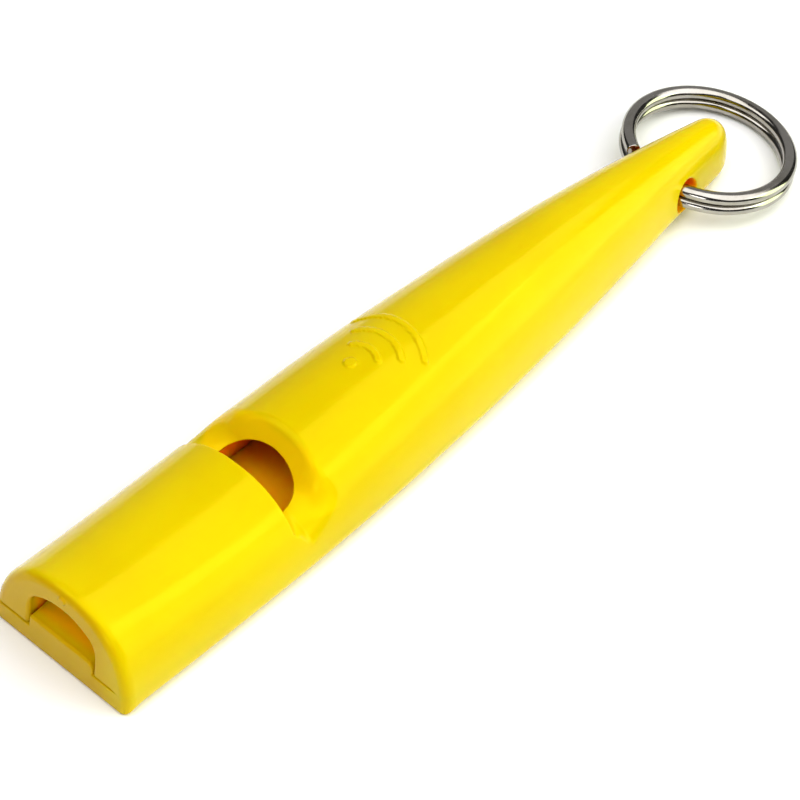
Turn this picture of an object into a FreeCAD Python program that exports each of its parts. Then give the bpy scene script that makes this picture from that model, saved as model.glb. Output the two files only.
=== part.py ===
import FreeCAD, Part
import math
import os

# Pealess dog-training whistle: two glued mouldings and a split ring in the tail.
# Frame: origin on the flat underside, half way along the body and on its middle line.
# +X runs from the mouth to the tail, +Z is up, millimetres throughout.
# Stations along the body ("from the lips") are measured from the mouth's front face.

# ---- body, outside ----
BODY_LENGTH = 83.0
MAX_HALF_WIDTH = 7.7
WIDEST_STATION = 17.0        # from the lips
LIP_NARROWING = 0.17         # how much slimmer each side is at the lips
TAIL_STATION = 78.0          # last station before the rounded tip
TAIL_NARROWING = 5.12        # how much slimmer each side is at the tail station
HIGHEST_STATION = 40.0
MAX_HEIGHT = 9.25
WAIST_HEIGHT = 8.36          # mouthpiece height just before the window
WAIST_STATION = 14.0
LIP_RISE = 0.8               # the roof rises again towards the lips
TAIL_DROP = 2.62             # height lost between the highest and the tail station
DOME_EXPONENT = 2.26         # 2 is an ellipse, more is squarer in the shoulders
LIP_CORNER = 1.25            # radius of the lower long edges at the lips
CORNER_GROWTH = 0.02         # and how much it grows per millimetre towards the tail
LARGEST_CORNER = 0.75        # but it is at most this share of the half width
UNDERSIDE_SKIM = 0.03        # the sections start this much below the flat underside
TIP_LENGTH = 3.0             # length of the rounded tail tip
TIP_CENTRE_HEIGHT = 1.8
PARTING_HEIGHT = 2.08        # the joint between shell and base plate
PLATE_END = 68.0             # the tail behind this station is all shell
JOINT_CHAMFER = 0.18         # small bevels that make the V groove at the lips

# ---- windway, window and chamber ----
WINDWAY_HALF_WIDTH = 3.6
WINDWAY_ARCH_RADIUS = 4.8
ARCH_CENTRE = 2.1            # height of the arches' centre, for windway, block and chamber
WINDOW_STATION = 19.9        # the mouthpiece roof ends here
WINDOW_FLOOR = 5.0           # height of the ledges beside the window
RAMP_FOOT = 22.5             # the ramp starts here on the ledges
RAMP_TOP = 25.2              # and meets the body's top here
CHAMBER_END = 34.0
CHAMBER_HALF_WIDTH = 4.2
CHAMBER_ARCH_RADIUS = 4.95
CORE_START, CORE_END = 36.5, 64.0
CORE_WALL = 2.4
CORE_ROOF = 2.0
CORE_ARCH_RISE = 0.45        # rise of the core's roof, as a share of its half width

# ---- base plate ----
BLOCK_SIDE_GAP = 0.15
BLOCK_ARCH_RADIUS = 3.8
BLOCK_LIP_HEIGHT = 3.25
BLOCK_TOP_STATION = 15.0
BLOCK_END = 19.6
PLUG_GAP = 0.12
PLUG_HEIGHT = 0.6
FLAT_ARCH_RISE = 0.001       # the tail plug's roof is flat but for this

# ---- split ring ----
HOLE_STATION = 74.3
HOLE_HEIGHT = 3.05
HOLE_RADIUS = 1.6
RING_RADIUS = 8.0            # outside
RING_SLACK = 0.22            # the wire rests this much nearer the lips than the hole's middle
WIRE_WIDTH = 1.3
WIRE_HEIGHT = 1.06
COIL_GAP = 0.04
WIRE_EDGE = 0.45
STEP_ANGLE = 162.0           # where the wire climbs from the lower turn to the upper one
STEP_SPAN = 26.0
STEP_STAGES = 8
RING_TILT = 7.65             # the free side of the ring lies on the table

MAIN_SECTIONS = 21
MAIN_SPACING = 1.6           # more than 1 sets the sections closer towards the tail
TIP_ANGLES = (12, 24, 36, 48, 58, 67, 75, 81)
RISE_STEPS = 14              # points up each side of a section

CUT = 20.0                   # reach of the cutting tools beyond the body


def from_lips(station):
    return station - BODY_LENGTH / 2


def half_width(station):
    if station < WIDEST_STATION:
        return MAX_HALF_WIDTH - LIP_NARROWING * (1 - station / WIDEST_STATION) ** 2
    reach = (station - WIDEST_STATION) / (TAIL_STATION - WIDEST_STATION)
    return MAX_HALF_WIDTH - TAIL_NARROWING * reach ** 2


def height(station):
    if station < WAIST_STATION:
        return WAIST_HEIGHT + LIP_RISE * (1 - station / WAIST_STATION) ** 2
    if station < HIGHEST_STATION:
        reach = (HIGHEST_STATION - station) / (HIGHEST_STATION - WAIST_STATION)
        swell = 3 * reach ** 2 - 2 * reach ** 3
        return MAX_HEIGHT - (MAX_HEIGHT - WAIST_HEIGHT) * swell
    reach = (station - HIGHEST_STATION) / (TAIL_STATION - HIGHEST_STATION)
    return MAX_HEIGHT - TAIL_DROP * reach ** 2.5


def side(z, station):
    """Half width of the section at a height: a domed side over a rounded lower corner."""
    dome = half_width(station) * (1 - (z / height(station)) ** DOME_EXPONENT) ** (1 / DOME_EXPONENT)
    radius = min(LIP_CORNER + CORNER_GROWTH * station, LARGEST_CORNER * half_width(station))
    below = max(0.0, radius - z)
    return dome - radius + math.sqrt(radius ** 2 - below ** 2)


def body_section(station, scale=1.0):
    """Closed D-shaped wire; scale shrinks it about the centre of the rounded tip."""
    top = height(station)
    rise = [top * (1 - math.cos(math.pi / 2 * i / RISE_STEPS)) for i in range(RISE_STEPS)]
    outline = [(side(z, station), z) for z in rise] + [(0.0, top)]
    outline += [(-y, z) for y, z in reversed(outline[:-1])]
    points = []
    for y, z in outline:
        z -= UNDERSIDE_SKIM * (1 - z / top)
        z = TIP_CENTRE_HEIGHT + (z - TIP_CENTRE_HEIGHT) * scale
        points.append(FreeCAD.Vector(from_lips(station), y * scale, z))
    dome = Part.BSplineCurve()
    dome.interpolate(points)
    floor = Part.LineSegment(points[-1], points[0])
    return Part.Wire([dome.toShape(), floor.toShape()])


def body_blank():
    """The whole outside: a loft through the sections, cut flat underneath."""
    tip_start = BODY_LENGTH - TIP_LENGTH
    sections = []
    for i in range(MAIN_SECTIONS):
        remaining = 1 - i / (MAIN_SECTIONS - 1)
        sections.append(body_section(tip_start * (1 - remaining ** MAIN_SPACING)))
    for angle in TIP_ANGLES:
        turn = math.radians(angle)
        sections.append(body_section(tip_start + TIP_LENGTH * math.sin(turn), math.cos(turn)))
    return Part.makeLoft(sections, True).common(slab(-CUT, BODY_LENGTH + CUT, 0, CUT))


def prism(outline, axis):
    """Solid from a closed outline of vectors, drawn out along one vector."""
    return Part.Face(Part.makePolygon(outline + outline[:1])).extrude(axis)


def side_prism(stations_and_heights):
    """Cutter with a profile seen from the side, through the whole width."""
    outline = [FreeCAD.Vector(from_lips(s), -CUT, z) for s, z in stations_and_heights]
    return prism(outline, FreeCAD.Vector(0, 2 * CUT, 0))


def slab(start, end, low, high):
    corner = FreeCAD.Vector(from_lips(start), -CUT, low)
    return Part.makeBox(end - start, 2 * CUT, high - low, corner)


def arch_wire(station, half, spring, crown, low):
    """Door-shaped wire across the body: upright sides and an arc over the top."""
    x = from_lips(station)
    left, right = FreeCAD.Vector(x, -half, spring), FreeCAD.Vector(x, half, spring)
    foot_left, foot_right = FreeCAD.Vector(x, -half, low), FreeCAD.Vector(x, half, low)
    arc = Part.Arc(left, FreeCAD.Vector(x, 0, crown), right)
    edges = [Part.LineSegment(foot_left, left), arc, Part.LineSegment(right, foot_right),
             Part.LineSegment(foot_right, foot_left)]
    return Part.Wire([edge.toShape() for edge in edges])


def arch_bar(start, end, half, radius):
    """Arched bar along the body, from 1 mm below the joint up."""
    spring = ARCH_CENTRE + math.sqrt(radius ** 2 - half ** 2)
    wire = arch_wire(start, half, spring, ARCH_CENTRE + radius, PARTING_HEIGHT - 1)
    return Part.Face(wire).extrude(FreeCAD.Vector(end - start, 0, 0))


def windway():
    return arch_bar(-1, WINDOW_STATION + 0.5, WINDWAY_HALF_WIDTH, WINDWAY_ARCH_RADIUS)


def chamber():
    return arch_bar(WINDOW_STATION, CHAMBER_END, CHAMBER_HALF_WIDTH, CHAMBER_ARCH_RADIUS)


def window_cut():
    slope = (height(RAMP_TOP) - WINDOW_FLOOR) / (RAMP_TOP - RAMP_FOOT)
    ramp_over = RAMP_FOOT + (CUT - WINDOW_FLOOR) / slope
    return side_prism([(WINDOW_STATION, WINDOW_FLOOR), (RAMP_FOOT, WINDOW_FLOOR),
                       (ramp_over, CUT), (WINDOW_STATION, CUT)])


def tail_core(inset=0.0, top=None):
    """Cavity that keeps the tail's walls even; with inset and top, the plug that enters it."""
    wires = []
    for station in (CORE_START + inset, CORE_END - inset):
        half = half_width(station) - CORE_WALL - inset
        crown = top or height(station) - CORE_ROOF
        spring = crown - (FLAT_ARCH_RISE if top else CORE_ARCH_RISE * half)
        wires.append(arch_wire(station, half, spring, crown, PARTING_HEIGHT - (0 if top else 1)))
    return Part.makeLoft(wires, True, True)


def ring_hole():
    start = FreeCAD.Vector(from_lips(HOLE_STATION), -CUT, HOLE_HEIGHT)
    return Part.makeCylinder(HOLE_RADIUS, 2 * CUT, start, FreeCAD.Vector(0, 1, 0))


def joint_groove():
    """V groove across the lips where the two mouldings meet."""
    return side_prism([(-0.01, PARTING_HEIGHT - JOINT_CHAMFER), (JOINT_CHAMFER, PARTING_HEIGHT),
                       (-0.01, PARTING_HEIGHT + JOINT_CHAMFER)])


def body_shell(blank):
    upper = slab(-CUT, BODY_LENGTH + CUT, PARTING_HEIGHT, CUT)
    tail = slab(PLATE_END, BODY_LENGTH + CUT, -CUT, CUT)
    shell = blank.common(upper.fuse(tail).removeSplitter())
    for cutter in (windway(), chamber(), window_cut(), tail_core(), ring_hole(), joint_groove()):
        shell = shell.cut(cutter)
    return shell


def windway_block():
    half = WINDWAY_HALF_WIDTH - BLOCK_SIDE_GAP
    bar = arch_bar(0, BLOCK_END, half, BLOCK_ARCH_RADIUS)
    crown = ARCH_CENTRE + BLOCK_ARCH_RADIUS
    return bar.common(side_prism([(0, 0), (0, BLOCK_LIP_HEIGHT), (BLOCK_TOP_STATION, crown),
                                  (BLOCK_END, crown), (BLOCK_END, 0)]))


def base_plate(blank):
    plate = blank.common(slab(-CUT, PLATE_END, -CUT, PARTING_HEIGHT))
    plug_half = CHAMBER_HALF_WIDTH - PLUG_GAP
    plug_start = FreeCAD.Vector(from_lips(BLOCK_END), -plug_half, PARTING_HEIGHT - 1)
    plug_length = CHAMBER_END - PLUG_GAP - BLOCK_END
    chamber_plug = Part.makeBox(plug_length, 2 * plug_half, 1 + PLUG_HEIGHT, plug_start)
    chamber_plug = chamber_plug.cut(slab(0, WINDOW_STATION + PLUG_GAP, PARTING_HEIGHT, CUT))
    tail_plug = tail_core(PLUG_GAP, PARTING_HEIGHT + PLUG_HEIGHT)
    return plate.fuse([windway_block(), chamber_plug, tail_plug]).cut(joint_groove()).removeSplitter()


def wire_profile(angle, lift):
    """Rounded rectangle of the ring's wire, in the half plane at an angle round the ring."""
    half_w, half_h, edge = WIRE_WIDTH / 2, WIRE_HEIGHT / 2, WIRE_EDGE
    radius = RING_RADIUS - half_w
    corners = [(half_w - edge, half_h - edge, 0), (edge - half_w, half_h - edge, 90),
               (edge - half_w, edge - half_h, 180), (half_w - edge, edge - half_h, 270)]

    def at(out, up):
        turn = math.radians(angle)
        distance = radius + out
        return FreeCAD.Vector(distance * math.cos(turn), distance * math.sin(turn), lift + up)

    arcs = []
    for out, up, first in corners:
        bend = [math.radians(first + step) for step in (0, 45, 90)]
        arcs.append([at(out + edge * math.cos(b), up + edge * math.sin(b)) for b in bend])
    edges = []
    for here, following in zip(arcs, arcs[1:] + arcs[:1]):
        edges += [Part.Arc(*here), Part.LineSegment(here[2], following[0])]
    return Part.Wire([edge.toShape() for edge in edges])


def split_ring():
    """One wire wound twice: a lower turn, a step up, and an upper turn over the first."""
    lift = (WIRE_HEIGHT + COIL_GAP) / 2
    first = STEP_ANGLE + STEP_SPAN / 2
    sweep = 360 - STEP_SPAN
    turns = []
    for level in (-lift, lift):
        face = Part.Face(wire_profile(first, level))
        turns.append(face.revolve(FreeCAD.Vector(0, 0, 0), FreeCAD.Vector(0, 0, 1), sweep))
    step = []
    for i in range(STEP_STAGES + 1):
        part_way = i / STEP_STAGES
        rise = (1 - math.cos(math.pi * part_way)) / 2
        step.append(wire_profile(first - STEP_SPAN * (1 - part_way), lift * (2 * rise - 1)))
    climb = Part.makeLoft(step, True)
    ring = turns[0].fuse([climb, turns[1]]).removeSplitter()
    return place_ring(ring)


def place_ring(ring):
    """Set the wire in the tail's hole, then tip the ring until its free side lies down."""
    wall = side(HOLE_HEIGHT, HOLE_STATION)
    inner = RING_RADIUS - WIRE_WIDTH
    reach = (RING_RADIUS + math.sqrt(inner ** 2 - wall ** 2)) / 2 - RING_SLACK
    axis_point = FreeCAD.Vector(from_lips(HOLE_STATION), 0, HOLE_HEIGHT)
    ring.translate(axis_point + FreeCAD.Vector(reach, 0, 0))
    ring.rotate(axis_point, FreeCAD.Vector(0, 1, 0), RING_TILT)
    return ring


def main():
    blank = body_blank()
    nodes = {"body_shell": body_shell(blank), "base_plate": base_plate(blank),
             "split_ring": split_ring()}
    os.makedirs("parts", exist_ok=True)
    for name, shape in nodes.items():
        box = shape.BoundBox
        print(name, shape.ShapeType, "valid", shape.isValid(), "solids", len(shape.Solids),
              "volume %.1f" % shape.Volume, "x %.2f..%.2f y %.2f..%.2f z %.3f..%.2f" % (
                  box.XMin, box.XMax, box.YMin, box.YMax, box.ZMin, box.ZMax))
        shape.Solids[0].exportStep("parts/" + name + ".step")


main()
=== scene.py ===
import math

import bpy
import numpy as np
from mathutils import Matrix, Vector


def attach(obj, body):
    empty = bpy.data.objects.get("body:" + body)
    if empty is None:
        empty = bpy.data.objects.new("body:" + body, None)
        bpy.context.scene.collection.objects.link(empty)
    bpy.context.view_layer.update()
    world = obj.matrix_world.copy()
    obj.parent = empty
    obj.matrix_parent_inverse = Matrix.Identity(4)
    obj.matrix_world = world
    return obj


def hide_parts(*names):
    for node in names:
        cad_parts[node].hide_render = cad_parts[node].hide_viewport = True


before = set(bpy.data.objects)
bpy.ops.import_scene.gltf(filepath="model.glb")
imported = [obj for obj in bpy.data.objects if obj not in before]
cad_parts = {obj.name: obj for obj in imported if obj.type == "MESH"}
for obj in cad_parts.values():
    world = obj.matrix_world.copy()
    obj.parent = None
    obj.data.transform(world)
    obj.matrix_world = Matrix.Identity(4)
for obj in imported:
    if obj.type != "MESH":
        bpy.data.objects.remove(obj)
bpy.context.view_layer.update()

# Pealess training whistle: two glossy yellow mouldings and a nickel split ring.
# The two mouldings are each one closed mesh, taken from a formula of their surface.
# Shapes are worked out in millimetres in (station, y, z), where a station is the distance
# from the mouth's front face; make_mesh turns them into metres in the part's own frame.

MM = 0.001
TINY = 1e-9

# ---- body, outside ----
BODY_LENGTH = 83.0
MAX_HALF_WIDTH = 7.7
WIDEST_STATION = 17.0
LIP_NARROWING = 0.17         # how much slimmer each side is at the lips
TAIL_STATION = 78.0
TAIL_NARROWING = 5.12        # how much slimmer each side is at the tail station
HIGHEST_STATION = 40.0
MAX_HEIGHT = 9.25
WAIST_HEIGHT = 8.36
WAIST_STATION = 14.0
LIP_RISE = 0.8               # the roof rises again towards the lips
TAIL_DROP = 2.62             # height lost between the highest and the tail station
DOME_EXPONENT = 2.26
LIP_CORNER = 1.25            # radius of the lower long edges at the lips
CORNER_GROWTH = 0.02         # and how much it grows per millimetre towards the tail
LARGEST_CORNER = 0.75        # but it is at most this share of the half width
TIP_LENGTH = 3.0
TIP_CENTRE_HEIGHT = 1.8
TIP_BISECTIONS = 26          # halvings that find a point's place on the tip
PARTING_HEIGHT = 2.08        # the joint between shell and base plate
PLATE_END = 68.0             # the tail behind this station is all shell
FRONT_ROUND = 0.9            # the lips' outer edge
FRONT_UNDER_ROUND = 0.3      # the front face's lower edge
FRONT_CORNER_END = 2.0       # behind this station the lower corners have their full radius

# ---- windway, window and chamber ----
WINDWAY_HALF_WIDTH = 3.6
WINDWAY_ARCH_RADIUS = 4.8
WINDWAY_OVERLAP = 0.5        # the windway's form runs this far into the window
ARCH_CENTRE = 2.1
WINDOW_STATION = 19.9
WINDOW_FLOOR = 5.0
RAMP_FOOT = 22.5
RAMP_TOP = 25.2
CHAMBER_END = 34.0
CHAMBER_HALF_WIDTH = 4.2
CHAMBER_ARCH_RADIUS = 4.95
ARCH_SPRING_ROUND = 0.5      # the soft corner where an arch leaves its upright wall
OPENING_EDGE = 0.35          # rounding of the mouth's inner edge
OPENING_EDGE_FADE = (1, 4)   # it sharpens to HOLE_EDGE between these stations
HOLE_EDGE = 0.14             # rounding of the half-moon hole's rim
MOUTHPIECE_EDGE = 0.12       # rounding where the roof ends at the window
NOTCH_SIDE_EDGE = 2.1        # rounding where the ledges and the ramp's foot run out at the sides
RAMP_EDGE = 0.4              # rounding where the ramp meets the dome's top
NOTCH_EDGE_FADE = (5.2, 8.2)  # heights between which one changes to the other
NOTCH_EDGE_START = 21.5      # from this station on the window's rounding is at its full size
LEDGE_FILLET = 0.3           # inside corner below the roof's end
RAMP_FILLET = 1.3            # inside corner at the ramp's foot

# ---- base plate ----
BLOCK_SIDE_GAP = 0.01
BLOCK_ARCH_RADIUS = 3.8
BLOCK_LIP_HEIGHT = 3.25
BLOCK_TOP_STATION = 15.0
BLOCK_END = 19.6
BLOCK_EDGE = 0.22            # rounding of the windway floor's +Y edge and of its ends
BLOCK_SOFT_EDGE = 0.6        # and of its -Y edge
BLOCK_EDGE_FADE = (1.5, 3)   # one changes to the other this far to -Y
PLUG_GAP = 0.01
PLUG_HEIGHT = 0.6
SEAM_HALF_GAP = 0.004
GROOVE_DEPTH = 0.16          # V groove along the joint at the lips
GROOVE_FADE = (0.8, 2.6)     # it runs out between these stations
GROOVE_END = (5.4, 6.8)      # and towards the -Y corner, this far from the middle
GROOVE_EDGE = 0.06

# ---- split ring ----
HOLE_STATION = 74.3
HOLE_HEIGHT = 3.05
HOLE_RADIUS = 1.6
HOLE_RIM = 0.16
RING_RADIUS = 8.0
RING_SLACK = 0.22            # the wire rests this much nearer the lips than the hole's middle
WIRE_WIDTH = 1.3
WIRE_HEIGHT = 1.06
COIL_GAP = 0.04
WIRE_SQUARENESS = 2.15       # exponent of the wire's rounded section
STEP_ANGLE = 162.0
STEP_SPAN = 26.0
RING_TILT = 7.65
CUT_END_BEVEL = 0.12
BEVEL_STEPS = (0, 0.15, 0.4, 0.7, 1)
BEVEL_HEIGHT_SHARE = 0.8     # the bevel takes less off the wire's height than off its width
RING_STEPS = 470             # sections along the wire
WIRE_SIDES = 32              # points round each section

# ---- stub of the filling point, above the mouth ----
GATE_Y = 0.0
GATE_HEIGHT = 8.2
GATE_RADIUS = 0.45
GATE_RAISE = 0.14
GATE_FLANK = 0.15            # width of its sloping side
GATE_REACH = 1.0             # only the surface before this station is raised

# ---- raised mark on the dome: a dot with sound waves leaving it ----
MARK_STATION = 34.0
MARK_Y = 0.9
MARK_RADII = (2.3, 4.3, 6.3)
MARK_SPREAD = 38.0           # degrees to each side
MARK_DOT = 0.55              # the dot's radius
MARK_STROKE = 0.3            # half width
MARK_FLANK = 0.2             # width of a stroke's sloping side
MARK_RAISE = 0.14


# ---- rounded set operations on signed distances (negative inside) ----

def both(a, b, radius):
    """What is inside a and b, with the edge between them rounded."""
    corner = np.hypot(np.maximum(a + radius, 0), np.maximum(b + radius, 0))
    return np.minimum(np.maximum(a, b), -radius) + corner


def cut(a, b, radius):
    """What is inside a and outside b, with the edge between them rounded."""
    return both(a, -b, radius)


def ease(value, start, end):
    """Smooth step from 0 at start to 1 at end."""
    t = np.clip((value - start) / (end - start), 0, 1)
    return t * t * (3 - 2 * t)


# ---- the body's outer form ----

def half_width(s):
    """Half the body's width at a station, widest a little behind the lips."""
    front = MAX_HALF_WIDTH - LIP_NARROWING * (1 - s / WIDEST_STATION) ** 2
    reach = np.maximum(s - WIDEST_STATION, 0) / (TAIL_STATION - WIDEST_STATION)
    return np.where(s < WIDEST_STATION, front, MAX_HALF_WIDTH - TAIL_NARROWING * reach ** 2)


def height(s):
    """The roof's height at a station: lips, waist, highest place and tail."""
    front = WAIST_HEIGHT + LIP_RISE * (1 - s / WAIST_STATION) ** 2
    reach = (HIGHEST_STATION - s) / (HIGHEST_STATION - WAIST_STATION)
    middle = MAX_HEIGHT - (MAX_HEIGHT - WAIST_HEIGHT) * (3 * reach ** 2 - 2 * reach ** 3)
    reach = np.maximum(s - HIGHEST_STATION, 0) / (TAIL_STATION - HIGHEST_STATION)
    rear = MAX_HEIGHT - TAIL_DROP * reach ** 2.5
    return np.where(s < WAIST_STATION, front, np.where(s < HIGHEST_STATION, middle, rear))


def lower_corner(s):
    return np.minimum(LIP_CORNER + CORNER_GROWTH * s, LARGEST_CORNER * half_width(s))


def dome(s, y, z):
    """Distance to the superelliptic dome of the section at s."""
    w, h, p = half_width(s), height(s), DOME_EXPONENT
    a, b = np.abs(y) / w, np.maximum(z, 0) / h
    total = a ** p + b ** p + TINY
    slope = total ** (1 / p - 1) * np.hypot(a ** (p - 1) / w, b ** (p - 1) / h)
    return (total ** (1 / p) - 1) / (slope + TINY)


def section(s, y, z):
    """Distance to the D-shaped section, with the front face's rounded edges."""
    underside = both(-z, -s, FRONT_UNDER_ROUND)
    corner = FRONT_ROUND + (lower_corner(s) - FRONT_ROUND) * ease(s, 0, FRONT_CORNER_END)
    return both(dome(s, y, z), underside, corner)


def tip(s, y, z):
    """Distance to the rounded tail tip: the last section shrinks about its centre."""
    s0 = BODY_LENGTH - TIP_LENGTH
    low, high = np.full(s.shape, 0.02), np.full(s.shape, 12.0)
    for _ in range(TIP_BISECTIONS):
        scale = (low + high) / 2
        outside = section(s, y / scale, TIP_CENTRE_HEIGHT + (z - TIP_CENTRE_HEIGHT) / scale) > 0
        low, high = np.where(outside, scale, low), np.where(outside, high, scale)
    return (np.hypot((low + high) / 2, (s - s0) / TIP_LENGTH) - 1) * TIP_LENGTH


def body(s, y, z):
    value = section(np.minimum(s, BODY_LENGTH), y, z)
    at_tip = s > BODY_LENGTH - TIP_LENGTH
    if at_tip.any():
        value[at_tip] = tip(s[at_tip], y[at_tip], z[at_tip])
    return value


def grooved_body(s, y, z):
    """The body with the V groove that runs round the lips along the joint."""
    outer = body(s, y, z)
    fade = np.maximum(ease(s, *GROOVE_FADE), ease(-y, *GROOVE_END))
    depth = GROOVE_DEPTH - (GROOVE_DEPTH + 2 * GROOVE_EDGE) * fade
    wall = (depth + outer - np.abs(z - PARTING_HEIGHT)) * math.sqrt(0.5)
    return both(outer, wall, GROOVE_EDGE)


# ---- cavities ----

def arch(y, z, half, radius):
    """Door-shaped passage along the body."""
    return both(np.abs(y) - half, np.hypot(y, z - ARCH_CENTRE) - radius, ARCH_SPRING_ROUND)


def passages(s, y, z):
    """Windway and sounding chamber."""
    windway = arch(y, z, WINDWAY_HALF_WIDTH, WINDWAY_ARCH_RADIUS)
    windway = np.maximum(windway, s - WINDOW_STATION - WINDWAY_OVERLAP)
    room = arch(y, z, CHAMBER_HALF_WIDTH, CHAMBER_ARCH_RADIUS)
    room = both(room, np.maximum(s - CHAMBER_END, WINDOW_STATION - s), HOLE_EDGE)
    return np.minimum(windway, room)


def window(s, z):
    """The notch in the roof: an upright end, two ledges and a ramp."""
    slope = (height(np.array(RAMP_TOP)) - WINDOW_FLOOR) / (RAMP_TOP - RAMP_FOOT)
    ramp = (slope * (s - RAMP_FOOT) - (z - WINDOW_FLOOR)) / math.hypot(1, slope)
    floor = both(WINDOW_FLOOR - z, ramp, RAMP_FILLET)
    return both(floor, WINDOW_STATION - s, LEDGE_FILLET)


def ring_hole(s, z):
    return np.hypot(s - HOLE_STATION, z - HOLE_HEIGHT) - HOLE_RADIUS


def gate_nub(s, y, z):
    """How far the little stub of the filling point stands out of the front face."""
    away = np.hypot(y - GATE_Y, z - GATE_HEIGHT)
    stub = GATE_RAISE * (1 - ease(away, GATE_RADIUS - GATE_FLANK, GATE_RADIUS))
    return np.where(s < GATE_REACH, stub, 0)


def mark(s, y):
    """How far the mark stands out of the dome at a place."""
    away = np.hypot(s - MARK_STATION, y - MARK_Y)
    turn = np.arctan2(y - MARK_Y, s - MARK_STATION)
    spread = math.radians(MARK_SPREAD)
    beyond = np.maximum(np.abs(turn) - spread, 0)
    nearest = away - MARK_DOT + MARK_STROKE
    for radius in MARK_RADII:
        nearest = np.minimum(nearest, np.hypot(away - radius, beyond * radius))
    return MARK_RAISE * (1 - ease(nearest, MARK_STROKE - MARK_FLANK / 2, MARK_STROKE + MARK_FLANK / 2))


# ---- the two mouldings: for each a free form and the joint planes that cut it ----

def shell_form(s, y, z):
    """The upper moulding, with its mark, its stub and its openings."""
    value = grooved_body(s, y, z)
    value = value - np.where(z > WINDOW_FLOOR, mark(s, y), 0) - gate_nub(s, y, z)
    behind = NOTCH_SIDE_EDGE + (RAMP_EDGE - NOTCH_SIDE_EDGE) * ease(z, *NOTCH_EDGE_FADE)
    edge = MOUTHPIECE_EDGE + (behind - MOUTHPIECE_EDGE) * ease(s, WINDOW_STATION, NOTCH_EDGE_START)
    value = cut(value, window(s, z), edge)
    inner_edge = HOLE_EDGE + (OPENING_EDGE - HOLE_EDGE) * (1 - ease(s, *OPENING_EDGE_FADE))
    value = cut(value, passages(s, y, z), inner_edge)
    return cut(value, ring_hole(s, z), HOLE_RIM)


def shell_joint(s, y, z):
    return np.minimum(PARTING_HEIGHT + SEAM_HALF_GAP - z, PLATE_END + SEAM_HALF_GAP - s)


def plate_joint(s, y, z):
    return np.maximum(z - PARTING_HEIGHT + SEAM_HALF_GAP, s - PLATE_END + SEAM_HALF_GAP)


def block(s, y, z):
    """The windway's floor: flush with the lips, rising to a narrow slit before the window."""
    slope = (ARCH_CENTRE + BLOCK_ARCH_RADIUS - BLOCK_LIP_HEIGHT) / BLOCK_TOP_STATION
    roof = (z - BLOCK_LIP_HEIGHT - slope * s) / math.hypot(1, slope)
    sides = arch(y, z, WINDWAY_HALF_WIDTH - BLOCK_SIDE_GAP, BLOCK_ARCH_RADIUS)
    edge = BLOCK_EDGE + (BLOCK_SOFT_EDGE - BLOCK_EDGE) * ease(-y, *BLOCK_EDGE_FADE)
    bar = both(sides, roof, edge)
    return both(bar, np.maximum(-s, s - BLOCK_END), BLOCK_EDGE)


def plug(s, y, z):
    """The low step that closes the chamber from below."""
    sides = np.abs(y) - (CHAMBER_HALF_WIDTH - PLUG_GAP)
    ends = np.maximum(WINDOW_STATION + PLUG_GAP - s, s - CHAMBER_END + PLUG_GAP)
    return np.maximum(np.maximum(sides, ends), z - PARTING_HEIGHT - PLUG_HEIGHT)


def plate_inside(s, y, z):
    """Block and plug, down to somewhere inside the plate."""
    return np.maximum(np.minimum(block(s, y, z), plug(s, y, z)), PARTING_HEIGHT / 2 - z)


# ---- surfaces from formulas ----

SETTLING_STEPS = 6           # rounds that bring every vertex onto the surface
EDGE_STEPS = 8               # and those on a joint's edge onto both of its surfaces
SLOPE_STEP = 1e-3


def grid_line(*stops):
    """Places along an axis: stops are (start, spacing), and the last is the end."""
    places = []
    for (start, spacing), (end, _) in zip(stops, stops[1:]):
        count = max(1, round((end - start) / spacing))
        places += [start + (end - start) * i / count for i in range(count)]
    return np.array(places + [stops[-1][0]])


def mirrored(*stops):
    """The same to both sides of 0."""
    half = grid_line(*stops)
    return np.concatenate([-half[:0:-1], half])


def gradient(field, points):
    """The field's slope along each axis."""
    slope = np.empty_like(points)
    for axis in range(3):
        ahead, behind = points.copy(), points.copy()
        ahead[:, axis] += SLOPE_STEP
        behind[:, axis] -= SLOPE_STEP
        slope[:, axis] = (field(*ahead.T) - field(*behind.T)) / (2 * SLOPE_STEP)
    return slope


def pull(field, points, reach):
    """One step that brings points onto the field's surface, no further than reach."""
    slope = gradient(field, points)
    move = -field(*points.T)[:, None] * slope / ((slope ** 2).sum(1)[:, None] + TINY)
    length = np.linalg.norm(move, axis=1)[:, None]
    return points + move * np.minimum(1, reach[:, None] / (length + TINY))


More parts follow.
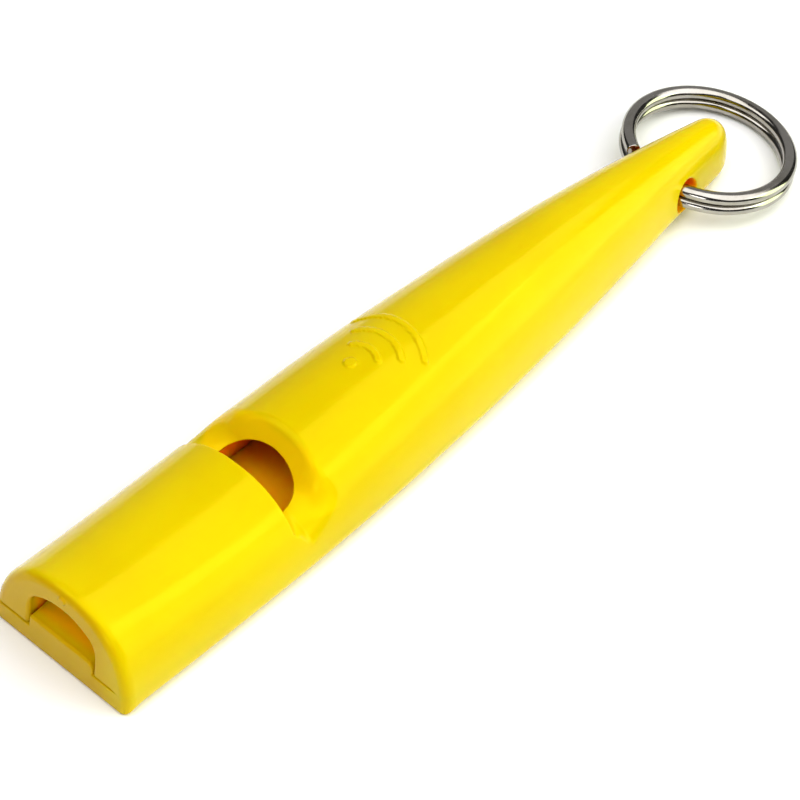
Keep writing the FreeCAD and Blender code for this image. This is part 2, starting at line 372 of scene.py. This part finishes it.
def surface(form, joint, inside, lines):
    """Closed quad mesh with one vertex in each grid cell that the surface crosses.

    The solid is (form and joint) or inside; where form and joint meet, vertices sit on the edge.
    """
    def solid(s, y, z):
        value = np.maximum(form(s, y, z), joint(s, y, z))
        return value if inside is None else np.minimum(value, inside(s, y, z))

    grid = np.stack(np.meshgrid(*lines, indexing="ij"), -1)
    value = solid(grid[..., 0], grid[..., 1], grid[..., 2])
    cells = tuple(n - 1 for n in value.shape)
    amount = cells[0] * cells[1] * cells[2]
    total, count, on_joint = np.zeros((amount, 3)), np.zeros(amount), np.zeros(amount)
    quads = []
    for axis in range(3):
        unit = np.eye(3, dtype=int)[axis]
        low_end = [slice(None)] * 3
        high_end = [slice(None)] * 3
        low_end[axis], high_end[axis] = slice(0, -1), slice(1, None)
        crossed = (value[tuple(low_end)] < 0) != (value[tuple(high_end)] < 0)
        index = np.argwhere(crossed)
        here, there = tuple(index.T), tuple((index + unit).T)
        share = value[here] / (value[here] - value[there])
        point = grid[here] + share[:, None] * (grid[there] - grid[here])
        flat = joint(*point.T) > form(*point.T)
        u, v = (axis + 1) % 3, (axis + 2) % 3
        ring = []
        for du, dv in ((-1, -1), (0, -1), (0, 0), (-1, 0)):
            cell = index.copy()
            cell[:, u] += du
            cell[:, v] += dv
            number = np.ravel_multi_index(tuple(cell.T), cells)
            ring.append(number)
            for k in range(3):
                total[:, k] += np.bincount(number, point[:, k], amount)
            count += np.bincount(number, None, amount)
            on_joint += np.bincount(number, flat.astype(float), amount)
        ring = np.stack(ring, 1)
        leaving = value[here] < 0
        quads.append(np.where(leaving[:, None], ring, ring[:, ::-1]))
    used = count > 0
    order = np.cumsum(used) - 1
    points = total[used] / count[used][:, None]
    share = on_joint[used] / count[used]
    where = np.stack(np.unravel_index(np.flatnonzero(used), cells), 1)
    size = np.stack([np.diff(line)[where[:, k]] for k, line in enumerate(lines)], 1)
    reach = size.min(1)
    for _ in range(SETTLING_STEPS):
        points = pull(solid, points, reach)
    if inside is None:
        edge = (share > 0) & (share < 1)
    else:
        edge = (share > 0) & (share < 1) & (inside(*points.T) > reach)
    sharp = points[edge]
    for _ in range(EDGE_STEPS):
        sharp = pull(form, sharp, reach[edge])
        sharp = pull(joint, sharp, reach[edge])
    points[edge] = sharp
    normals = gradient(solid, points)
    normals[edge] = gradient(form, points[edge])
    normals /= np.linalg.norm(normals, axis=1)[:, None] + TINY
    return points, order[np.concatenate(quads)], normals


def to_frame(points):
    """Stations in millimetres to the part's frame in metres."""
    return (np.asarray(points) - (BODY_LENGTH / 2, 0, 0)) * MM


def station_x(station):
    """The x of a station, in the part's frame in metres."""
    return (station - BODY_LENGTH / 2) * MM


def make_mesh(name, points, faces, normals=None):
    mesh = bpy.data.meshes.new(name)
    mesh.from_pydata(to_frame(points).tolist(), [], [list(map(int, face)) for face in faces])
    mesh.validate()
    mesh.polygons.foreach_set("use_smooth", [True] * len(mesh.polygons))
    if normals is not None:
        mesh.normals_split_custom_set_from_vertices(normals.tolist())
    mesh.update()
    obj = bpy.data.objects.new(name, mesh)
    bpy.context.scene.collection.objects.link(obj)
    return obj


# ---- the pieces ----

# Grids of cells in millimetres, as (start, spacing) stops, finest where the edges are smallest.
STATIONS = grid_line((-0.3, 0.1), (-0.04, 0.045), (0.32, 0.12), (2.4, 0.3), (4.4, 0.6),
                     (18.9, 0.2), (19.7, 0.05), (20.1, 0.12), (26.2, 0.5), (31.4, 0.16),
                     (41.4, 0.6), (72.2, 0.13), (76.6, 0.4), (79.8, 0.22), (83.2, 1))
SHELL_ACROSS = mirrored((0, 0.16), (2.5, 0.1), (3.4, 0.16), (5.2, 0.22), (7.2, 0.11), (7.9, 1))
SHELL_UP = grid_line((-0.2, 0.12), (0.4, 0.15), (1.76, 0.065), (2.4, 0.17), (4.8, 0.12),
                     (7.2, 0.18), (9.6, 1))
PLATE_ACROSS = mirrored((0, 0.3), (2.9, 0.1), (4.3, 0.3), (7.0, 0.1), (7.9, 1))
PLATE_UP = grid_line((-0.2, 0.12), (0.4, 0.22), (1.76, 0.065), (2.4, 0.1), (3.6, 0.2), (6.2, 1))


def make_shell():
    points, faces, normals = surface(shell_form, shell_joint, None,
                                     (STATIONS, SHELL_ACROSS, SHELL_UP))
    return make_mesh("upper_moulding", points, faces, normals)


def make_plate():
    points, faces, normals = surface(grooved_body, plate_joint, plate_inside,
                                     (STATIONS[STATIONS < PLATE_END + 1.5], PLATE_ACROSS, PLATE_UP))
    return make_mesh("lower_moulding", points, faces, normals)


def wire_section():
    """Rounded-rectangle outline of the wire, as (outward, upward) pairs."""
    outline = []
    for i in range(WIRE_SIDES):
        turn = math.tau * i / WIRE_SIDES
        c, s = math.cos(turn), math.sin(turn)
        size = (abs(c) ** WIRE_SQUARENESS + abs(s) ** WIRE_SQUARENESS) ** (-1 / WIRE_SQUARENESS)
        outline.append((WIRE_WIDTH / 2 * c * size, WIRE_HEIGHT / 2 * s * size))
    return outline


def wire_height(turned):
    """Height of the wire's middle after so many degrees: a lower turn, a step, an upper turn."""
    lift = (WIRE_HEIGHT + COIL_GAP) / 2
    climb = ease(np.array(turned), 360 - STEP_SPAN, 360.0)
    return lift * (2 * float(climb) - 1)


def make_ring():
    """The wire, swept twice round, with its two cut ends closed."""
    length = 2 * 360 - STEP_SPAN
    arc = math.degrees(CUT_END_BEVEL / (RING_RADIUS - WIRE_WIDTH / 2))
    turns = [arc * e for e in BEVEL_STEPS]
    turns += list(np.linspace(arc, length - arc, RING_STEPS))[1:-1]
    turns += [length - arc * e for e in reversed(BEVEL_STEPS)]
    outline = wire_section()
    middle = RING_RADIUS - WIRE_WIDTH / 2
    points, faces = [], []
    for turned in turns:
        near_end = min(turned, length - turned) / arc
        inset = CUT_END_BEVEL * (1 - math.sqrt(max(0, 1 - (1 - min(near_end, 1)) ** 2)))
        angle = math.radians(STEP_ANGLE + STEP_SPAN / 2 + turned)
        for out, up in outline:
            out -= inset * out / (WIRE_WIDTH / 2)
            up -= inset * up / (WIRE_HEIGHT / 2) * BEVEL_HEIGHT_SHARE
            reach = middle + out
            points.append((reach * math.cos(angle), reach * math.sin(angle),
                           wire_height(turned) + up))
    ring = len(outline)
    for i in range(len(turns) - 1):
        for k in range(ring):
            a, b = i * ring + k, i * ring + (k + 1) % ring
            faces.append((a, a + ring, b + ring, b))
    last = (len(turns) - 1) * ring
    faces.append(tuple(range(ring)))
    faces.append(tuple(range(last + ring - 1, last - 1, -1)))
    return make_mesh("key_ring", ring_in_place(np.array(points)), faces)


def ring_in_place(points):
    """Sets the wire in the tail's hole, then tips the ring until its free side lies down."""
    wall = float(dome_side(HOLE_HEIGHT, HOLE_STATION))
    inner = RING_RADIUS - WIRE_WIDTH
    reach = (RING_RADIUS + math.sqrt(inner ** 2 - wall ** 2)) / 2 - RING_SLACK
    tilt = math.radians(RING_TILT)
    x, z = points[:, 0] + reach, points[:, 2]
    placed = points.copy()
    placed[:, 0] = HOLE_STATION + x * math.cos(tilt) + z * math.sin(tilt)
    placed[:, 2] = HOLE_HEIGHT - x * math.sin(tilt) + z * math.cos(tilt)
    return placed


def dome_side(z, s):
    """Half width of the section at a height above the rounded lower corner."""
    share = (z / height(np.array(s))) ** DOME_EXPONENT
    return half_width(np.array(s)) * (1 - share) ** (1 / DOME_EXPONENT)


# ---- materials ----

# Linear colours. Where there are two, slow noise drifts between them.
OUTSIDE_YELLOW = ((0.62, 0.46, 0.0006, 1), (0.645, 0.49, 0.001, 1))
# Painted glow: brighter, oranger colours for the walls of the windway, chamber and ring hole, for light
# bouncing inside them.
WINDWAY_GLOW_YELLOW = ((0.98, 0.57, 0.006, 1), (1.0, 0.6, 0.008, 1))
CHAMBER_GLOW_ORANGE = (1.0, 0.42, 0.008, 1)
# Painted shade: a darker orange yellow for the front face.
LIP_SHADE_YELLOW = (0.55, 0.33, 0.004, 1)
# Painted light: a brighter orange gold for the window's ledges and ramp.
NOTCH_GLOW_YELLOW = (0.84, 0.56, 0.003, 1)
NICKEL = ((0.42, 0.4, 0.37, 1), (0.34, 0.32, 0.28, 1))
CARD_WHITE = ((0.93, 0.93, 0.935, 1), (0.95, 0.95, 0.95, 1))

# Share of the painted shade and the painted glow on the outside, and the bands where they come and go,
# in mm.
LIP_SHADE = 0.75             # on the front face
LIP_STATIONS = (0.1, 0.6)
LIP_SIDE = (-6.5, -3.5)      # less towards -Y, down to LIP_SIDE_LEAST of it
LIP_SIDE_LEAST = 0.2
NOTCH_GLOW = 0.7            # on the window's ledges and ramp
NOTCH_STATIONS = (19.95, 20.15)
NOTCH_END_STATIONS = (24.6, 25.3)
NOTCH_HEIGHTS = (4.6, 5.0)

# The walls of the cavities, told from the outside by their place; they get a painted glow.
MOUTH_STATIONS = (0.3, 1.6)
CHAMBER_STATIONS = (15, 22)  # the windway's colour changes to the chamber's
REAR_STATIONS = (CHAMBER_END + 0.1, CHAMBER_END + 0.2)
CAVITY_SIDE = (4.3, 4.4)     # away from the middle
CAVITY_FLOOR = (2.1, 2.3)
LEDGE_UNDERSIDE = (4.88, 4.98)
ROOF_STATIONS = (19.7, 19.8)  # before these the cavity reaches up to the windway's roof
ROOF_HEIGHTS = (6.95, 7.1)

# Light goes further into the walls of the cavities than into the outside.
SUBSURFACE_WEIGHTS = (0.35, 1)
SUBSURFACE_SCALES = (0.9, 5)


class Nodes:
    """Short way to build a node tree."""

    def __init__(self, name):
        self.material = bpy.data.materials.new(name)
        self.material.use_nodes = True
        self.tree = self.material.node_tree
        self.shader = self.tree.nodes["Principled BSDF"]
        self.place = self.add("ShaderNodeTexCoord").outputs["Object"]

    def add(self, kind, **settings):
        node = self.tree.nodes.new(kind)
        for key, value in settings.items():
            setattr(node, key, value)
        return node

    def link(self, source, target):
        self.tree.links.new(source, target)

    def set(self, **values):
        """Constants on the shader's sockets, with underscores for spaces."""
        for key, value in values.items():
            self.shader.inputs[key.replace("_", " ")].default_value = value

    def noise(self, per_mm, detail=3.0, roughness=0.5, distortion=0.0, stretch=None):
        """Noise with about so many features to the millimetre."""
        node = self.add("ShaderNodeTexNoise")
        node.inputs["Scale"].default_value = per_mm / MM
        node.inputs["Detail"].default_value = detail
        node.inputs["Roughness"].default_value = roughness
        node.inputs["Distortion"].default_value = distortion
        place = self.place
        if stretch:
            mapping = self.add("ShaderNodeMapping")
            mapping.inputs["Scale"].default_value = stretch
            self.link(self.place, mapping.inputs["Vector"])
            place = mapping.outputs["Vector"]
        self.link(place, node.inputs["Vector"])
        return node.outputs["Fac"]

    def spread(self, source, low, high, to_low, to_high):
        """Smooth step from to_low to to_high while the source goes from low to high."""
        node = self.add("ShaderNodeMapRange", interpolation_type="SMOOTHSTEP")
        for key, value in zip(("From Min", "From Max", "To Min", "To Max"),
                              (low, high, to_low, to_high)):
            node.inputs[key].default_value = value
        self.link(source, node.inputs["Value"])
        return node.outputs["Result"]

    def over(self, source, band, first, last):
        """Eases from first to last over a band in millimetres."""
        return self.spread(source, band[0] * MM, band[1] * MM, first, last)

    def along(self, source, stations, first, last):
        """Eases from first to last between two stations."""
        return self.spread(source, station_x(stations[0]), station_x(stations[1]), first, last)

    def mix(self, amount, first, second):
        node = self.add("ShaderNodeMix", data_type="RGBA")
        for socket, value in ((node.inputs[0], amount), (node.inputs[6], first),
                              (node.inputs[7], second)):
            if hasattr(value, "links"):
                self.link(value, socket)
            else:
                socket.default_value = value
        return node.outputs[2]

    def combine(self, operation, *sources):
        node = self.add("ShaderNodeMath", operation=operation)
        for source, socket in zip(sources, node.inputs):
            self.link(source, socket)
        return node.outputs[0]

    def sum(self, first, second):
        return self.combine("ADD", first, second)

    def product(self, first, second):
        return self.combine("MULTIPLY", first, second)

    def larger(self, first, second):
        return self.combine("MAXIMUM", first, second)

    def magnitude(self, source):
        return self.combine("ABSOLUTE", source)

    def split(self, vector):
        node = self.add("ShaderNodeSeparateXYZ")
        self.link(vector, node.inputs[0])
        return node.outputs

    def bump(self, height_source, strength, distance_mm):
        node = self.add("ShaderNodeBump")
        node.inputs["Strength"].default_value = strength
        node.inputs["Distance"].default_value = distance_mm * MM
        self.link(height_source, node.inputs["Height"])
        self.link(node.outputs["Normal"], self.shader.inputs["Normal"])


def cavities(n):
    """1 on the walls of the windway and the chamber, which get a painted glow, else 0."""
    x, y, z = n.split(n.place)
    length = n.product(n.along(x, MOUTH_STATIONS, 0, 1), n.along(x, REAR_STATIONS, 1, 0))
    width = n.over(n.magnitude(y), CAVITY_SIDE, 1, 0)
    below_ledges = n.over(z, LEDGE_UNDERSIDE, 1, 0)
    below_roof = n.product(n.along(x, ROOF_STATIONS, 1, 0), n.over(z, ROOF_HEIGHTS, 1, 0))
    above_plate = n.over(z, CAVITY_FLOOR, 0, 1)
    low_enough = n.larger(below_ledges, below_roof)
    return n.product(n.product(length, width), n.product(above_plate, low_enough))


def hole_wall(n):
    """1 on the wall of the hole for the ring, which gets the same painted glow, else 0."""
    flat = n.add("ShaderNodeVectorMath", operation="MULTIPLY")
    flat.inputs[1].default_value = (1, 0, 1)
    n.link(n.place, flat.inputs[0])
    away = n.add("ShaderNodeVectorMath", operation="DISTANCE")
    away.inputs[1].default_value = (station_x(HOLE_STATION), 0, HOLE_HEIGHT * MM)
    n.link(flat.outputs[0], away.inputs[0])
    return n.over(away.outputs["Value"], (HOLE_RADIUS, HOLE_RADIUS + HOLE_RIM), 1, 0)


def lip_painted_shade(n):
    """Up to its full share of painted shade, darkening the front face and fading to -Y."""
    x, y, _ = n.split(n.place)
    face = n.along(x, LIP_STATIONS, LIP_SHADE, 0)
    return n.product(face, n.over(y, LIP_SIDE, LIP_SIDE_LEAST, 1))


def notch_painted_glow(n):
    """Up to its full share of painted glow on the window's ledges and ramp: a brighter orange gold for
    light bouncing in the notch.
    """
    x, _, z = n.split(n.place)
    behind_roof = n.along(x, NOTCH_STATIONS, 0, NOTCH_GLOW)
    before_dome = n.along(x, NOTCH_END_STATIONS, 1, 0)
    return n.product(n.product(behind_roof, before_dome), n.over(z, NOTCH_HEIGHTS, 0, 1))


def yellow_plastic():
    """Glossy moulded plastic: slight colour drift, mould texture and fine handling marks, with painted
    shade on the front face and painted glow in the notch and the cavities.
    """
    n = Nodes("yellow_plastic")
    drift = n.spread(n.noise(0.09, 3), 0.35, 0.65, 0.0, 1.0)
    outside = n.mix(drift, *OUTSIDE_YELLOW)
    # painted shade darkens the front face
    outside = n.mix(lip_painted_shade(n), outside, LIP_SHADE_YELLOW)
    # painted light on the notch's ledges and ramp
    outside = n.mix(notch_painted_glow(n), outside, NOTCH_GLOW_YELLOW)
    # painted glow on the walls of the windway, chamber and ring hole
    windway = n.mix(drift, *WINDWAY_GLOW_YELLOW)
    inside = n.mix(n.along(n.split(n.place)[0], CHAMBER_STATIONS, 0, 1), windway, CHAMBER_GLOW_ORANGE)
    painted_glow = n.larger(cavities(n), hole_wall(n))
    n.link(n.mix(painted_glow, outside, inside), n.shader.inputs["Base Color"])
    n.link(n.spread(painted_glow, 0, 1, *SUBSURFACE_WEIGHTS), n.shader.inputs["Subsurface Weight"])
    scales = (scale * MM for scale in SUBSURFACE_SCALES)
    n.link(n.spread(painted_glow, 0.5, 1, *scales), n.shader.inputs["Subsurface Scale"])
    smears = n.spread(n.noise(0.35, 4, 0.6, 0.4), 0.35, 0.7, 0.12, 0.2)
    n.link(smears, n.shader.inputs["Roughness"])
    n.set(IOR=1.5, Specular_IOR_Level=0.4, Specular_Tint=(1.0, 0.9, 0.03, 1),
          Subsurface_Radius=(1.0, 0.45, 0.03))
    scratches = n.spread(n.noise(2.2, 2, stretch=(0.12, 1, 1)), 0.45, 0.75, 0.0, 1.0)
    n.bump(n.sum(n.noise(0.7, 2), scratches), 0.05, 0.05)
    return n.material


def nickel():
    """Bright nickel plate with faint tarnish and drawing lines."""
    n = Nodes("nickel_steel")
    tarnish = n.spread(n.noise(0.25, 4, 0.6), 0.4, 0.7, 0.0, 1.0)
    n.link(n.mix(tarnish, *NICKEL), n.shader.inputs["Base Color"])
    n.set(Metallic=1.0)
    n.link(n.spread(n.noise(1.4, 3), 0.3, 0.7, 0.1, 0.19), n.shader.inputs["Roughness"])
    n.bump(n.noise(6.0, 2), 0.05, 0.02)
    return n.material


def white_card():
    """Matt card with a faint fibre."""
    n = Nodes("white_card")
    fibre = n.spread(n.noise(0.08, 4), 0.3, 0.7, 0.0, 1.0)
    n.link(n.mix(fibre, *CARD_WHITE), n.shader.inputs["Base Color"])
    n.set(Roughness=0.7)
    n.bump(n.noise(1.2, 3), 0.1, 0.05)
    return n.material


# ---- studio ----

CAMERA_PLACE = (-189.91, -140.62, 264.12)  # mm, in the part's frame
CAMERA_YAW, CAMERA_PITCH, CAMERA_ROLL = 36.70, 48.27, 7.32  # degrees; it looks down by the pitch
CAMERA_LENS = 189.0
FLOOR_HALF = 3.0             # metres
FLOOR_LEVEL = -0.00002       # just under the flat underside
WORLD_STRENGTH = 0.05


def make_camera():
    """Long lens above the mouth's -Y side."""
    yaw, pitch, roll = (math.radians(a) for a in (CAMERA_YAW, CAMERA_PITCH, CAMERA_ROLL))
    ahead = Vector((math.cos(pitch) * math.cos(yaw), math.cos(pitch) * math.sin(yaw), -math.sin(pitch)))
    level = ahead.cross(Vector((0, 0, 1))).normalized()
    upright = level.cross(ahead)
    right = math.cos(roll) * level + math.sin(roll) * upright
    up = math.cos(roll) * upright - math.sin(roll) * level
    data = bpy.data.cameras.new("camera")
    data.lens = CAMERA_LENS
    data.sensor_width = 36.0
    data.clip_start = 0.01
    camera = bpy.data.objects.new("camera", data)
    turn = Matrix((right, up, -ahead)).transposed().to_4x4()
    camera.matrix_world = Matrix.Translation(Vector(CAMERA_PLACE) * MM) @ turn
    bpy.context.scene.collection.objects.link(camera)
    bpy.context.scene.camera = camera


def softbox(name, place, aim, width, length, power, colour=(1, 1, 1)):
    """Area lamp; places and sizes in metres, power in watts."""
    data = bpy.data.lights.new(name, "AREA")
    data.shape = "RECTANGLE"
    data.size, data.size_y = width, length
    data.energy = power
    data.color = colour
    lamp = bpy.data.objects.new(name, data)
    lamp.location = place
    lamp.rotation_euler = (Vector(aim) - Vector(place)).to_track_quat("-Z", "Y").to_euler()
    bpy.context.scene.collection.objects.link(lamp)


def make_studio():
    """Pale floor, dim even surroundings and five soft lamps."""
    floor_mesh = bpy.data.meshes.new("floor")
    corners = [(x * FLOOR_HALF, y * FLOOR_HALF, FLOOR_LEVEL)
               for x, y in ((-1, -1), (1, -1), (1, 1), (-1, 1))]
    floor_mesh.from_pydata(corners, [], [(0, 1, 2, 3)])
    floor = bpy.data.objects.new("floor", floor_mesh)
    floor_mesh.materials.append(white_card())
    bpy.context.scene.collection.objects.link(floor)
    world = bpy.data.worlds.new("studio")
    world.use_nodes = True
    background = world.node_tree.nodes["Background"]
    background.inputs["Color"].default_value = (1.0, 1.0, 1.0, 1)
    background.inputs["Strength"].default_value = WORLD_STRENGTH
    bpy.context.scene.world = world
    softbox("top_box", (0.22, -0.4, 0.6), (0.22, -0.4, 0), 0.85, 1.1, 6.0)
    softbox("side_box", (0.5, -0.54, 0.28), (0, 0, 0), 0.5, 0.6, 2.9, (0.88, 1.0, 0.65))
    softbox("left_box", (-0.3, 0.15, 0.6), (-0.3, 0.15, 0), 0.5, 0.7, 2.3)
    softbox("front_box", (-0.55, -0.38, 0.2), (0, 0, 0), 0.22, 0.26, 0.7)
    softbox("back_card", (0.6, 0.55, 0.4), (0, 0, 0), 1.2, 0.8, 1.0)
    bpy.context.scene.view_settings.view_transform = "Standard"
    bpy.context.scene.view_settings.look = "Medium High Contrast"


def main():
    plastic, metal = yellow_plastic(), nickel()
    pieces = ((make_shell(), "body_shell", "whistle_body", "yellow_plastic", plastic),
              (make_plate(), "base_plate", "whistle_body", "yellow_plastic", plastic),
              (make_ring(), "split_ring", "ring", "nickel_steel", metal))
    for piece, node, rides_on, slot, material in pieces:
        piece.data.materials.append(material)
        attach(piece, rides_on)
        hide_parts(node)
    make_camera()
    make_studio()


main()
